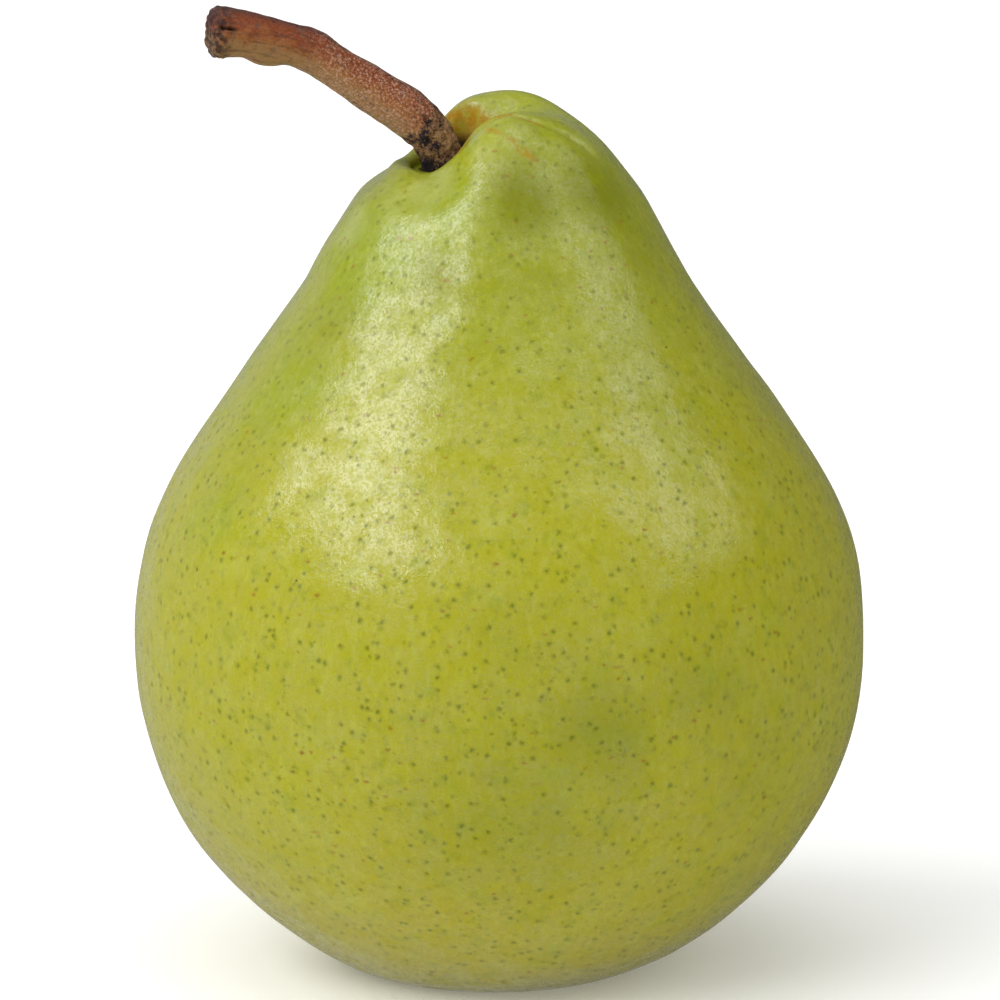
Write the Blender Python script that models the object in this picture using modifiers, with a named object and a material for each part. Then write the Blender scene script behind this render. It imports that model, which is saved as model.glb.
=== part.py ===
"""A short-necked green pear that stands on the rim of its base, its stalk pushed over to one side.

It has three grown pieces: the fruit, the woody stem in its cavity, and the dried calyx in the basin
under it. The front view looks along +Y with +X to the right, and +Z is up. The origin is on the
surface that the pear stands on, below the middle of the belly. All sizes are in metres.
"""

import math

import bpy
from mathutils import Matrix, Vector, noise

MM = 0.001

# The stem and the calyx stand in plain sockets, with this gap all round
FIT_GAP = 0.3 * MM
STEM_MIDDLE = Vector((-5.7, 0.6, 0.0)) * MM
STEM_SOCKET_RADIUS = 2.2 * MM + FIT_GAP
STEM_SOCKET_FLOOR = 78.9 * MM - FIT_GAP
CALYX_MIDDLE = Vector((-1.4, 0.0, 0.0)) * MM
CALYX_SOCKET_RADIUS = 2.3 * MM + FIT_GAP
CALYX_SOCKET_FLOOR = 8.2 * MM + FIT_GAP

# The surface under the pear
REST_HEIGHT = 0.0

# How finely the fruit is turned
FRUIT_SIDES = 72
POINTS_PER_CROWN_KNOT = 3
POINTS_PER_BODY_KNOT = 2

# The crown: distances from its middle, and its heights there in each direction round the stem,
# which are in degrees from +X towards +Y. All in millimetres.
CROWN_TOP_OF_SOCKET = (2.75, 82.3)
CROWN_DISTANCES = (3.6, 5.2, 7.6, 10.4, 12.9)
CROWN_SECTIONS = {
    # the crease between the two lobes that lean on the stem
    0: (87.0, 89.1, 90.4, 87.8, 84.1),
    # the back lobe, which ends steeply behind the stem
    30: (89.3, 91.0, 91.4, 88.4, 84.6),
    60: (89.8, 91.1, 91.2, 88.0, 84.5),
    90: (87.8, 89.7, 90.2, 87.8, 84.6),
    # the low side that the stem leans over
    120: (85.6, 86.4, 87.0, 86.3, 84.3),
    150: (84.8, 85.2, 84.8, 84.2, 83.3),
    180: (84.4, 84.9, 84.8, 84.2, 83.0),
    210: (84.0, 84.6, 84.6, 84.1, 83.0),
    240: (83.8, 84.4, 84.6, 84.2, 83.1),
    # the front lobe, which rises beside the stem
    270: (85.0, 85.7, 87.8, 86.7, 84.6),
    300: (86.3, 89.2, 90.5, 88.1, 84.6),
    330: (87.2, 90.1, 90.6, 88.4, 84.5),
}

# Half outline of the body, as (distance from its axis, height), from the neck to the basin under it
NECK_TO_BELLY = (
    (15.3, 81.2),
    (17.8, 77.0),
    (20.1, 72.7),
    (23.1, 68.4),
    (28.9, 60.0),
    (34.4, 51.6),
    (37.3, 43.2),
    (38.1, 34.5),
)
BELLY_TO_RIM = (
    (37.0, 26.4),
    (33.9, 18.5),
    (29.2, 11.5),
    (23.6, 5.6),
    (18.0, 1.7),
    (14.2, 0.1),
    (11.6, -0.3),
)
CALYX_BASIN = ((9.2, 0.6), (7.0, 2.7), (5.0, 4.5), (3.2, 5.2))

# The crown's rings slide towards the stem, and the basin's towards the calyx
CROWN_REACH = 13.5 * MM
BASIN_REACH = 26.0 * MM
MIDDLE_HEIGHT = 40.0 * MM

# The body is out of round: it swells front left and back right, is a little square round the base, and
# its neck is fuller in front and behind than at its sides. Each has a depth and the heights it spans.
SWELLING = (0.6, 4.0, 80.0)
SQUARENESS = (0.35, 0.0, 44.0)
NECK_FULLNESS = (0.45, 64.0, 82.0)

# Soft forms press the skin in or swell it out. Each has a path of points, how far it reaches at the
# path's start and end, and its push at the start and end, all in millimetres.
FRUIT_FORMS = {
    "front_rib": (
        ((-1.8, -9.5, 87.0), (-2.0, -14.5, 82.0), (-4.5, -18.5, 73.5)),
        (8.0, 10.0),
        ((0.0, -1.0, 0.3), (0.0, -0.5, 0.0)),
    ),
    "rib_valley": (
        ((4.5, -11.5, 86.0), (3.0, -18.0, 75.5)),
        (6.5, 9.0),
        ((0.0, 0.6, -0.2), (0.0, 0.4, 0.0)),
    ),
    "left_hollow": (
        ((-8.5, -10.5, 83.5), (-9.5, -16.0, 76.0)),
        (6.5, 8.0),
        ((0.1, 0.6, -0.2), (0.2, 0.4, 0.0)),
    ),
    "left_shoulder": (
        ((-14.2, 0.0, 82.5), (-17.5, 0.0, 79.5)),
        (4.5, 4.5),
        ((0.4, 0.0, -0.1), (0.4, 0.0, 0.0)),
    ),
    "left_bump": (
        ((-18.6, -1.0, 76.2), (-18.4, 1.0, 76.6)),
        (4.0, 4.0),
        ((-0.3, 0.0, 0.0), (-0.3, 0.0, 0.0)),
    ),
    "right_flank": (
        ((19.0, 0.0, 75.0), (32.0, 0.0, 55.0)),
        (14.0, 14.0),
        ((-0.6, 0.0, 0.0), (-0.6, 0.0, 0.0)),
    ),
    "right_haunch": (
        ((36.5, -4.0, 24.0), (29.0, -6.0, 11.0)),
        (12.0, 12.0),
        ((0.5, 0.0, 0.0), (0.7, 0.0, -0.4)),
    ),
    "left_haunch": (
        ((-31.0, -5.0, 14.0), (-24.0, -6.0, 6.0)),
        (11.0, 10.0),
        ((-0.5, 0.0, -0.2), (0.0, 0.0, -0.2)),
    ),
}

# The stem's axis as (x, y, z, radius), from its foot to the rough end where it left the twig
STEM_AXIS = (
    (-5.7, 0.6, 78.9, 2.2),
    (-5.7, 0.6, 82.3, 2.2),
    (-6.0, 0.5, 85.2, 2.2),
    (-7.0, 0.2, 87.6, 2.25),
    (-9.4, 0.0, 90.1, 2.55),
    (-12.6, -0.4, 92.2, 2.4),
    (-16.0, -1.0, 94.5, 2.25),
    (-19.4, -1.7, 96.65, 2.15),
    (-23.9, -2.8, 98.3, 2.2),
    (-26.9, -3.5, 98.95, 2.5),
    (-28.7, -4.0, 99.1, 2.7),
)
STEM_SIDES = 20
STEM_RINGS_PER_KNOT = 4

# The rings that close the rough end: how far past the axis's last point, and the share of its radius
STEM_END_RINGS = ((0.5, 0.97), (0.9, 0.85), (1.15, 0.6), (1.25, 0.3))
STEM_FORMS = {
    "nub": (((-25.0, -3.2, 96.4), (-23.8, -2.9, 96.0)), (1.6, 1.6), ((0.1, -0.1, -0.9), (0.3, -0.1, -0.7))),
    "node": (((-19.6, -1.6, 99.2), (-18.0, -1.4, 98.6)), (2.2, 2.0), ((0.0, 0.0, 0.35), (0.1, 0.0, 0.45))),
}

# Long ridges on the stem, and the roughness of its corky foot and broken end
STEM_RIDGES = 5
STEM_RIDGE_DEPTH = 0.07 * MM
STEM_LUMP_SIZE = 1.6 * MM
STEM_LUMP_DEPTH = 0.12 * MM

# The calyx: a cup in the socket, with dried sepals curled out of its rim and dried stamens inside
CALYX_CUP = (
    (2.3, 8.2),
    (2.3, 5.6),
    (2.35, 4.9),
    (2.05, 4.3),
    (1.6, 4.3),
    (1.25, 5.0),
    (1.0, 5.9),
    (0.6, 6.4),
)
CALYX_SIDES = 24
SEPAL_COUNT = 5
SEPAL_THICKNESS = 0.75 * MM
SEPAL_PATH = ((1.9, 5.0), (2.6, 4.15), (3.6, 3.6), (4.8, 3.1), (5.7, 2.3), (6.1, 1.3))
SEPAL_WIDTHS = (1.9, 2.5, 2.4, 2.0, 1.4, 0.6)
STAMEN_COUNT = 7
STAMEN_RADIUS = 0.32 * MM
STAMEN_ROOT = 6.7 * MM
STAMEN_TIP = 4.0 * MM


def clear_scene():
    for thing in list(bpy.data.objects):
        bpy.data.objects.remove(thing, do_unlink=True)


def new_collection(name, shown=True):
    collection = bpy.data.collections.new(name)
    bpy.context.scene.collection.children.link(collection)
    collection.hide_render = not shown
    return collection


def new_material(name, colour, roughness):
    material = bpy.data.materials.new(name)
    material.use_nodes = True
    shader = material.node_tree.nodes["Principled BSDF"]
    shader.inputs["Base Color"].default_value = (*colour, 1.0)
    shader.inputs["Roughness"].default_value = roughness
    shader.inputs["Metallic"].default_value = 0.0
    return material


def between(before, start, stop, after, t):
    """The point at t, from 0 to 1, between start and stop on a smooth curve, by Catmull and Rom's rule."""
    return 0.5 * (
        2 * start
        + (stop - before) * t
        + (2 * before - 5 * start + 4 * stop - after) * t**2
        + (3 * start - before - 3 * stop + after) * t**3
    )


def curve_through(knots, points_per_knot):
    """Points on a smooth curve through the knots, with points_per_knot of them between knot and knot."""
    ends = [2 * knots[0] - knots[1], *knots, 2 * knots[-1] - knots[-2]]
    points = []
    for span in zip(ends, ends[1:], ends[2:], ends[3:]):
        points += [between(*span, step / points_per_knot) for step in range(points_per_knot)]
    return [*points, knots[-1]]


def crown_heights(direction):
    """The crown's heights at CROWN_DISTANCES in a direction between two of its sections, in degrees."""
    step = 360 / len(CROWN_SECTIONS)
    sections = list(CROWN_SECTIONS.values())
    first, share = divmod(direction % 360 / step, 1)
    near = [sections[(int(first) + turn) % len(sections)] for turn in (-1, 0, 1, 2)]
    return [between(*heights, share) for heights in zip(*near)]


def fruit_outline(heights):
    """The half outline from the stem's socket to the calyx's, with these heights at CROWN_DISTANCES."""
    crown = [CROWN_TOP_OF_SOCKET, *zip(CROWN_DISTANCES, heights), *NECK_TO_BELLY[:2]]
    body = [*NECK_TO_BELLY, *BELLY_TO_RIM, *CALYX_BASIN]
    crown, body = ([Vector((x, 0, z)) * MM for x, z in knots] for knots in (crown, body))
    stem_wall = (STEM_SOCKET_FLOOR + crown[0].z) / 2
    calyx_wall = (CALYX_SOCKET_FLOOR + body[-1].z) / 2
    return [
        Vector((0, 0, STEM_SOCKET_FLOOR)),
        Vector((STEM_SOCKET_RADIUS * 0.6, 0, STEM_SOCKET_FLOOR)),
        Vector((STEM_SOCKET_RADIUS, 0, STEM_SOCKET_FLOOR)),
        Vector((STEM_SOCKET_RADIUS, 0, stem_wall)),
        *curve_through(crown, POINTS_PER_CROWN_KNOT)[: -POINTS_PER_CROWN_KNOT - 1],
        *curve_through(body, POINTS_PER_BODY_KNOT),
        Vector((CALYX_SOCKET_RADIUS, 0, calyx_wall)),
        Vector((CALYX_SOCKET_RADIUS, 0, CALYX_SOCKET_FLOOR)),
        Vector((CALYX_SOCKET_RADIUS * 0.6, 0, CALYX_SOCKET_FLOOR)),
        Vector((0, 0, CALYX_SOCKET_FLOOR)),
    ]


def turned(name, outline, sides, collection):
    """A solid of revolution about Z: the outline runs from the top, down its outer side."""
    mesh = bpy.data.meshes.new(name)
    mesh.from_pydata(outline, [(i, i + 1) for i in range(len(outline) - 1)], [])
    solid = bpy.data.objects.new(name, mesh)
    collection.objects.link(solid)
    screw = solid.modifiers.new("turn", "SCREW")
    screw.steps = screw.render_steps = sides
    screw.use_merge_vertices = True
    screw.merge_threshold = 0.01 * MM
    screw.use_normal_calculate = True
    return as_plain_mesh(solid)


def as_plain_mesh(thing):
    """Puts what the modifiers or the curve make into a plain mesh object of the same name and place."""
    name, place, home = thing.name, thing.matrix_world.copy(), thing.users_collection[0]
    graph = bpy.context.evaluated_depsgraph_get()
    mesh = bpy.data.meshes.new_from_object(thing.evaluated_get(graph))
    mesh.transform(place)
    bpy.data.objects.remove(thing, do_unlink=True)
    made = bpy.data.objects.new(name, mesh)
    home.objects.link(made)
    return made


def nearest_on_path(point, path):
    """How far the point is from the path, and how far along the path that is, from 0 to 1."""
    best_distance, best_share = math.inf, 0.0
    pieces = len(path) - 1
    for index, (start, stop) in enumerate(zip(path, path[1:])):
        run = stop - start
        along = min(1.0, max(0.0, (point - start).dot(run) / run.length_squared))
        distance = (start + run * along - point).length
        if distance < best_distance:
            best_distance, best_share = distance, (index + along) / pieces
    return best_distance, best_share


def soft_push(point, forms):
    """The sum of the soft forms at a point of the skin."""
    total = Vector()
    for path, reaches, pushes in forms.values():
        distance, share = nearest_on_path(point, [Vector(p) * MM for p in path])
        reach = (reaches[0] + (reaches[1] - reaches[0]) * share) * MM
        if distance < reach:
            fade = (1 - (distance / reach) ** 2) ** 2
            total += Vector(pushes[0]).lerp(Vector(pushes[1]), share) * MM * fade
    return total


def slide(point):
    """How far the fruit's middle is from the axis, at the ring of the plain solid that the point is on."""
    if point.z > MIDDLE_HEIGHT:
        middle, still, reach = STEM_MIDDLE, CROWN_TOP_OF_SOCKET[0] * MM, CROWN_REACH
    else:
        middle, still, reach = CALYX_MIDDLE, CALYX_SOCKET_RADIUS, BASIN_REACH
    share = (math.hypot(point.x, point.y) - still) / (reach - still)
    share = min(1.0, max(0.0, share))
    return middle * (1 - 3 * share**2 + 2 * share**3)


def rise_and_fall(height, depth, low, high):
    """Up to the depth half way between low and high, and nothing beyond them. All in millimetres."""
    share = (height - low) / (high - low)
    return depth * math.sin(math.pi * min(1.0, max(0.0, share)))


def swell(point):
    """How far the body is out of round, at a point of the plain solid."""
    if point.xy.length < BASIN_REACH / 2:
        return Vector()
    around = math.atan2(point.y, point.x)
    height = point.z / MM
    total = (
        math.sin(2 * around) * rise_and_fall(height, *SWELLING)
        + math.sin(4 * around) * rise_and_fall(height, *SQUARENESS)
        + math.sin(around) ** 2 * rise_and_fall(height, *NECK_FULLNESS)
    )
    return Vector((math.cos(around), math.sin(around), 0)) * total * MM


def nearest_ring(point, outline):
    """Which point of the half outline this point of the plain solid was turned from."""
    from_axis = math.hypot(point.x, point.y)
    return min(
        range(len(outline)),
        key=lambda index: math.hypot(outline[index].x - from_axis, outline[index].z - point.z),
    )


def make_fruit(collection):
    """The turned solid, with each direction's crown section put in, slid off its axis and softly formed."""
    plain = fruit_outline(crown_heights(0))
    fruit = turned("fruit", plain, FRUIT_SIDES, collection)
    sections = {}
    for vertex in fruit.data.vertices:
        direction = round(math.degrees(math.atan2(vertex.co.y, vertex.co.x)), 2)
        if direction not in sections:
            sections[direction] = fruit_outline(crown_heights(direction))
        place = vertex.co + slide(vertex.co) + swell(vertex.co)
        place.z = sections[direction][nearest_ring(vertex.co, plain)].z
        place += soft_push(place, FRUIT_FORMS)
        place.z = max(place.z, REST_HEIGHT)
        vertex.co = place
    return fruit


def stem_line():
    """The stem's axis as (x, y, z, radius) points, with the rings that close its rough end."""
    line = curve_through([Vector(knot) * MM for knot in STEM_AXIS], STEM_RINGS_PER_KNOT)
    end = line[-1].copy()
    onward = (end.xyz - line[-2].xyz).normalized()
    for beyond, share in STEM_END_RINGS:
        line.append(Vector((*(end.xyz + onward * beyond * MM), end.w * share)))
    return line


def bar_along(name, line, sides, collection):
    """A round bar through (x, y, z, radius) points, with flat ends."""
    curve = bpy.data.curves.new(name, "CURVE")
    curve.dimensions = "3D"
    curve.bevel_depth = 1.0
    curve.bevel_resolution = sides // 2 - 2
    curve.use_fill_caps = True
    spline = curve.splines.new("POLY")
    spline.points.add(len(line) - 1)
    for point, here in zip(spline.points, line):
        point.co = (*here.xyz, 1.0)
        point.radius = here.w
    bar = bpy.data.objects.new(name, curve)
    collection.objects.link(bar)
    return as_plain_mesh(bar)


def make_stem(collection):
    """A bar along the stem's axis, with long ridges, corky lumps, a nub and a swollen node."""
    line = stem_line()
    stem = bar_along("stem", line, STEM_SIDES, collection)
    axis = [here.xyz for here in line]
    socket_top = CROWN_TOP_OF_SOCKET[1] * MM
    for vertex in stem.data.vertices:
        place = vertex.co.copy()
        nearest = min(axis, key=lambda point: (point - place).length)
        out = (place - nearest).normalized()
        turn = math.atan2(out.y, out.z)
        bare = min(1.0, max(0.0, (place.z - socket_top) / (2 * MM)))
        lump = noise.noise(place / STEM_LUMP_SIZE) * STEM_LUMP_DEPTH
        ridge = math.sin(STEM_RIDGES * turn + place.x / (6 * MM)) * STEM_RIDGE_DEPTH
        vertex.co = place + out * (lump + ridge) * bare + soft_push(place, STEM_FORMS)
    return stem


def make_sepal(index, collection):
    """A thin blade that curls out of the calyx's rim, along a path with a width at each of its points."""
    path = curve_through([Vector((r, 0, z)) * MM for r, z in SEPAL_PATH], 2)
    widths = curve_through([Vector((width, 0)) * MM for width in SEPAL_WIDTHS], 2)
    bpy.ops.mesh.primitive_grid_add(x_subdivisions=4, y_subdivisions=len(path) - 1, size=1)
    sepal = bpy.context.object
    sepal.name = f"sepal_{index}"
    sepal.users_collection[0].objects.unlink(sepal)
    collection.objects.link(sepal)
    droop = 0.25 * MM * math.sin(2.3 * index)
    twist = math.radians(12) * math.sin(1.7 * index + 0.6)
    for vertex in sepal.data.vertices:
        step = round((vertex.co.y + 0.5) * (len(path) - 1))
        across = 2 * vertex.co.x
        along = step / (len(path) - 1)
        side = across * widths[step].x / 2
        curl = (side * math.sin(twist) - 0.2 * MM * across**2 - droop) * along
        vertex.co = path[step] + Vector((0, side, -curl))
    turn = math.tau * index / SEPAL_COUNT + 0.16 * math.sin(2.9 * index)
    sepal.data.transform(Matrix.Translation(CALYX_MIDDLE) @ Matrix.Rotation(turn, 4, "Z"))
    thick = sepal.modifiers.new("thickness", "SOLIDIFY")
    thick.thickness = SEPAL_THICKNESS
    thick.offset = 0.0
    thick.use_even_offset = True
    return as_plain_mesh(sepal)


def make_stamen(index, collection):
    """A dried thread that leans out of the bottom of the calyx's cup."""
    turn = math.tau * index / STAMEN_COUNT + 0.3
    lean = 0.35 + 0.3 * math.sin(3.1 * index)
    out = Vector((math.cos(turn), math.sin(turn), 0)) * MM
    tip = STAMEN_TIP + 0.4 * MM * math.sin(2.2 * index)
    root = CALYX_MIDDLE + out * 0.6 + Vector((0, 0, STAMEN_ROOT))
    middle = CALYX_MIDDLE + out * (0.6 + 0.25 * lean) + Vector((0, 0, (STAMEN_ROOT + tip) / 2))
    end = CALYX_MIDDLE + out * (0.6 + lean) + Vector((0, 0, tip))
    line = [Vector((*point, STAMEN_RADIUS)) for point in (root, middle, end)]
    return bar_along(f"stamen_{index}", line, 8, collection)


def make_calyx(collection):
    """The cup in its socket, made one piece with its sepals and stamens."""
    cup = [Vector((0, 0, CALYX_CUP[0][1])), *(Vector((x, 0, z)) for x, z in CALYX_CUP)]
    cup.append(Vector((0, 0, CALYX_CUP[-1][1])))
    calyx = turned("calyx", [point * MM for point in cup], CALYX_SIDES, collection)
    calyx.data.transform(Matrix.Translation(CALYX_MIDDLE))
    dried = new_collection("dried_flower", shown=False)
    for index in range(SEPAL_COUNT):
        make_sepal(index, dried)
    for index in range(STAMEN_COUNT):
        make_stamen(index, dried)
    union = calyx.modifiers.new("union", "BOOLEAN")
    union.operation = "UNION"
    union.operand_type = "COLLECTION"
    union.collection = dried
    union.solver = "EXACT"
    union.use_self = True
    joined = as_plain_mesh(calyx)
    for thing in list(dried.objects):
        bpy.data.objects.remove(thing, do_unlink=True)
    bpy.data.collections.remove(dried)
    return joined


def main():
    clear_scene()
    pear = new_collection("pear")
    fruit = make_fruit(pear)
    fruit.data.materials.append(new_material("green_skin", (0.42, 0.45, 0.08), 0.4))
    stem = make_stem(pear)
    stem.data.materials.append(new_material("stem_wood", (0.25, 0.12, 0.06), 0.7))
    calyx = make_calyx(pear)
    calyx.data.materials.append(new_material("dry_calyx", (0.08, 0.05, 0.03), 0.8))
    for piece in (fruit, stem, calyx):
        piece.data.shade_smooth()
        piece.data.set_sharp_from_angle(angle=math.radians(40))


main()
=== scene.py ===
"""A green pear on a pale floor, its skin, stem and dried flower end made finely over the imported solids.

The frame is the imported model's: metres, +Z up, and the front view looks along +Y. Sizes below are in
millimetres unless they say otherwise.
"""
import math

import bpy
import numpy as np
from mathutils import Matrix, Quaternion, Vector, noise


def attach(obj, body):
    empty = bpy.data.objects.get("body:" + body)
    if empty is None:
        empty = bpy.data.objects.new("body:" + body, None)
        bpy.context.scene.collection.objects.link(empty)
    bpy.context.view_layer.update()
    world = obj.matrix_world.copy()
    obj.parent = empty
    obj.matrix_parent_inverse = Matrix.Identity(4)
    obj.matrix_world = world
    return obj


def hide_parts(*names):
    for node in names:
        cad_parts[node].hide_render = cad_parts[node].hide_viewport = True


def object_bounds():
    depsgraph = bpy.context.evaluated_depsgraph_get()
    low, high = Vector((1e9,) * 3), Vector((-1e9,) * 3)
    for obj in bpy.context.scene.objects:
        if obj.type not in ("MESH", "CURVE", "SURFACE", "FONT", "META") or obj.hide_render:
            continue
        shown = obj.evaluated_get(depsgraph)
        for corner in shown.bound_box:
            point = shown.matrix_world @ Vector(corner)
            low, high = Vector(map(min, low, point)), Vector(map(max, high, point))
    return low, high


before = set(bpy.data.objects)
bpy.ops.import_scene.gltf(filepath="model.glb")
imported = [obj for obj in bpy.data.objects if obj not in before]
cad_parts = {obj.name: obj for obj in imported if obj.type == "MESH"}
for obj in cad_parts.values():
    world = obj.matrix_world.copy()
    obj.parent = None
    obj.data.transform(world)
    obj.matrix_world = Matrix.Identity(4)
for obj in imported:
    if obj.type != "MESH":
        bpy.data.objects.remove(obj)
PACKED_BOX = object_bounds()

MM = 0.001

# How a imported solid's loose triangles are joined up, and how finely each piece is then divided
MERGE_DISTANCE = 0.002
QUAD_ANGLE = math.radians(60)
FRUIT_LEVELS = 2
STEM_LEVELS = 3
CALYX_LEVELS = 2

# The skin's unevenness: the size of its swells and hollows, and how far the skin rises and sinks there
SKIN_SWELLS = ((13.0, 0.22), (6.0, 0.09), (2.8, 0.03))

# The line where the front lobe folds against the back one, from beside the stem to the right shoulder
FOLD_LINE = (
    (-2.2, -5.7, 89.3),
    (-1.0, -5.6, 90.2),
    (0.6, -5.2, 90.8),
    (1.8, -5.5, 90.7),
    (3.1, -5.7, 90.3),
    (4.7, -5.8, 89.7),
    (7.0, -5.6, 88.7),
    (9.3, -5.5, 87.1),
)
FOLD_WIDTH = 0.9
FOLD_DEPTH = 0.35

# Painted shade in the hollow round the stem's foot: how far beside the stem, how low and how far to the
# right it lies. In each pair, the shade starts at the first number and is whole at the second.
HOLLOW_BESIDE = (4.3, 3.2)
HOLLOW_UNDER = (87.8, 86.3)
HOLLOW_RIGHT_OF = (-6.5, -4.5)

# On the left of the stem's foot the skin rises to this height instead, and its pairs read the same way
FILL_TOP = 84.1
FILL_OVER = (FILL_TOP - 2.8, FILL_TOP - 2.0)
FILL_BESIDE = (4.8, 3.6)
FILL_LEFT_OF = (-4.5, -6.5)

# The skin's unevenness starts this high over the floor, so that the ring under the pear stays flat
UNEVEN_OVER = (0.6, 3.0)

# Golden russet on the skin: each stroke has a path, how far it spreads and how strong it is. The last two
# are in the hollow round the stem's foot and round the calyx.
RUSSET_STROKES = (
    (FOLD_LINE[:6], 0.5, 0.7),
    (((-2.4, -4.4, 89.3), (-0.6, -4.6, 90.6), (1.0, -4.6, 91.0)), 1.3, 0.6),
    (((-1.3, -7.4, 89.6), (-0.2, -8.2, 89.4), (1.1, -9.1, 88.9)), 0.9, 0.64),
    (((1.1, -9.1, 88.9), (1.9, -9.7, 88.1), (3.4, -10.2, 86.8)), 1.5, 0.6),
    (((-6.5, 5.4, 86.5), (-3.6, 3.6, 87.5), (-2.4, 0.4, 87.0), (-2.6, -2.6, 86.5)), 5.0, 1.5),
    (((-1.4, 0.0, 4.6), (-1.4, 0.1, 4.6)), 10.0, 0.8),
)

# Where the skin is greenest: each patch has its middle, how far it spreads and how strong it is
GREEN_PATCHES = (
    ((-13.7, -11.1, 77.2), 13.0, 1.0),
    ((-21.0, -15.0, 64.0), 13.0, 0.75),
    ((-6.0, -14.0, 82.0), 9.0, 0.8),
    ((11.0, -8.0, 83.0), 8.0, 0.6),
    ((-28.0, -17.0, 52.0), 12.0, 0.5),
    ((-16.0, 12.0, 76.0), 14.0, 0.9),
    ((8.0, 14.0, 80.0), 12.0, 0.6),
)

# Where the skin is duller and darkened with painted shade: each patch has its middle, how far it spreads
# and how strong it is
DULL_AND_SHADED_PATCHES = (
    ((3.0, -14.4, 84.0), 8.0, 0.95),
    ((10.0, -9.0, 83.5), 9.5, 0.85),
    ((14.4, -9.0, 78.3), 9.0, 0.45),
    ((2.0, -36.0, 24.0), 23.0, 0.42),
    ((2.0, -37.2, 41.0), 14.0, 0.3),
    ((26.5, -25.4, 27.6), 13.0, 0.25),
    ((-17.5, -13.5, 70.0), 9.0, 0.35),
    ((-26.0, -18.0, 57.0), 9.0, 0.25),
    ((10.1, -36.5, 32.4), 15.0, 0.48),
    ((20.2, -31.8, 35.4), 13.0, 0.3),
    ((-6.5, -17.5, 76.5), 6.0, 0.5),
)

# Where a waxy bloom and painted sheen make the skin paler: each patch has its middle, how far it spreads
# and its strength
BLOOM_AND_SHEEN_PATCHES = (
    ((-7.1, -9.1, 83.6), 5.5, 0.9),
    ((-10.5, -8.4, 82.3), 4.0, 0.6),
    ((-15.3, -6.6, 79.0), 4.5, 0.8),
    ((6.2, 0.4, 89.7), 6.0, 0.5),
    ((9.5, -4.0, 87.5), 5.0, 0.4),
)

# The stem's axis as (x, y, z), from its foot to the rough end where it left the twig
STEM_AXIS = (
    (-5.7, 0.6, 78.9),
    (-5.7, 0.6, 82.3),
    (-6.0, 0.5, 85.2),
    (-7.0, 0.2, 87.6),
    (-9.4, 0.0, 90.1),
    (-12.6, -0.4, 92.2),
    (-16.0, -1.0, 94.5),
    (-19.4, -1.7, 96.65),
    (-23.9, -2.8, 98.3),
    (-26.9, -3.5, 98.95),
    (-29.9, -4.3, 99.2),
)
STEM_RADIUS = 2.3

# The way that the stem's upper side faces, and how far each way its run is read at a place
STEM_UPWARDS = np.array((0.25, 0.0, 1.0))
RUN_REACH = 0.8

# Bark on the stem: fibres along it, small lumps, and crumbs and crust at its two ends
FIBRE_WIDTH = 0.55
FIBRE_LENGTH = 5.0
FIBRE_DEPTH = 0.06
LUMP_SIZE = 1.1
LUMP_DEPTH = 0.06
CRUST_SIZE = 0.75
CRUST_DEPTH = 0.25
CRUMB_SIZE = 0.55
CRUMB_DEPTH = 0.18

# How far along the stem its crust reaches, and how far it covers all the bark
CRUST_LENGTH = 12.5
ALL_CRUST_LENGTH = 9.0

# How far from the stem's rough end the crumbs reach, the dark breaks reach, all is broken, the bark is
# glossy, and it is all weathered
CRUMB_LENGTH = 3.0
BROKEN_LENGTH = 2.6
ALL_BROKEN_LENGTH = 0.8
GLOSSY_LENGTH = 9.0
WEATHERED_LENGTH = 15.0

# Painted shade in the pits between the crumbs: the noise at which it starts and is darkest, and how dark it
# is
PIT_CRUMBS = (0.05, 0.6)
PIT_SHADE = 0.7

# Cracks that run in from the stem's rough end, darkened with painted shade: each has its path, its half
# width and its depth, and their edges are frayed
CRACK_FRAY = 0.1
FRAY_SIZE = 0.5
STEM_CRACKS = (
    (((-30.8, -5.0, 100.6), (-29.2, -6.5, 100.4), (-28.3, -6.4, 99.9), (-26.4, -6.1, 99.7)), 0.34, 0.7),
    (((-30.6, -4.8, 101.3), (-29.6, -5.8, 101.2), (-28.7, -6.1, 101.0)), 0.3, 0.55),
    (((-30.6, -5.2, 99.5), (-29.6, -6.3, 99.2), (-28.8, -6.5, 99.3)), 0.22, 0.35),
    (((-30.4, -5.0, 98.3), (-28.8, -6.0, 98.0)), 0.2, 0.25),
)

# The dried sepals' wrinkles
WRINKLE_SIZE = 0.8
WRINKLE_DEPTH = 0.08


def work_on(piece):
    """Selects that piece alone, and makes it the active one."""
    bpy.ops.object.select_all(action="DESELECT")
    piece.select_set(True)
    bpy.context.view_layer.objects.active = piece


def finish_with(piece, kind, **settings):
    """Adds a modifier of that kind and applies it."""
    modifier = piece.modifiers.new(kind.lower(), kind)
    for name, value in settings.items():
        setattr(modifier, name, value)
    work_on(piece)
    bpy.ops.object.modifier_apply(modifier=modifier.name)


def fine_copy(node_name, piece_name, levels):
    """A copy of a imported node, joined up into four-sided faces and finely divided."""
    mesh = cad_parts[node_name].data.copy()
    mesh.materials.clear()
    piece = bpy.data.objects.new(piece_name, mesh)
    bpy.context.scene.collection.objects.link(piece)
    work_on(piece)
    bpy.ops.mesh.customdata_custom_splitnormals_clear()
    bpy.ops.object.mode_set(mode="EDIT")
    bpy.ops.mesh.select_all(action="SELECT")
    bpy.ops.mesh.remove_doubles(threshold=MERGE_DISTANCE * MM)
    bpy.ops.mesh.tris_convert_to_quads(face_threshold=QUAD_ANGLE, shape_threshold=QUAD_ANGLE)
    bpy.ops.object.mode_set(mode="OBJECT")
    finish_with(piece, "SUBSURF", levels=levels, render_levels=levels)
    piece.data.shade_smooth()
    return piece


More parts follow.
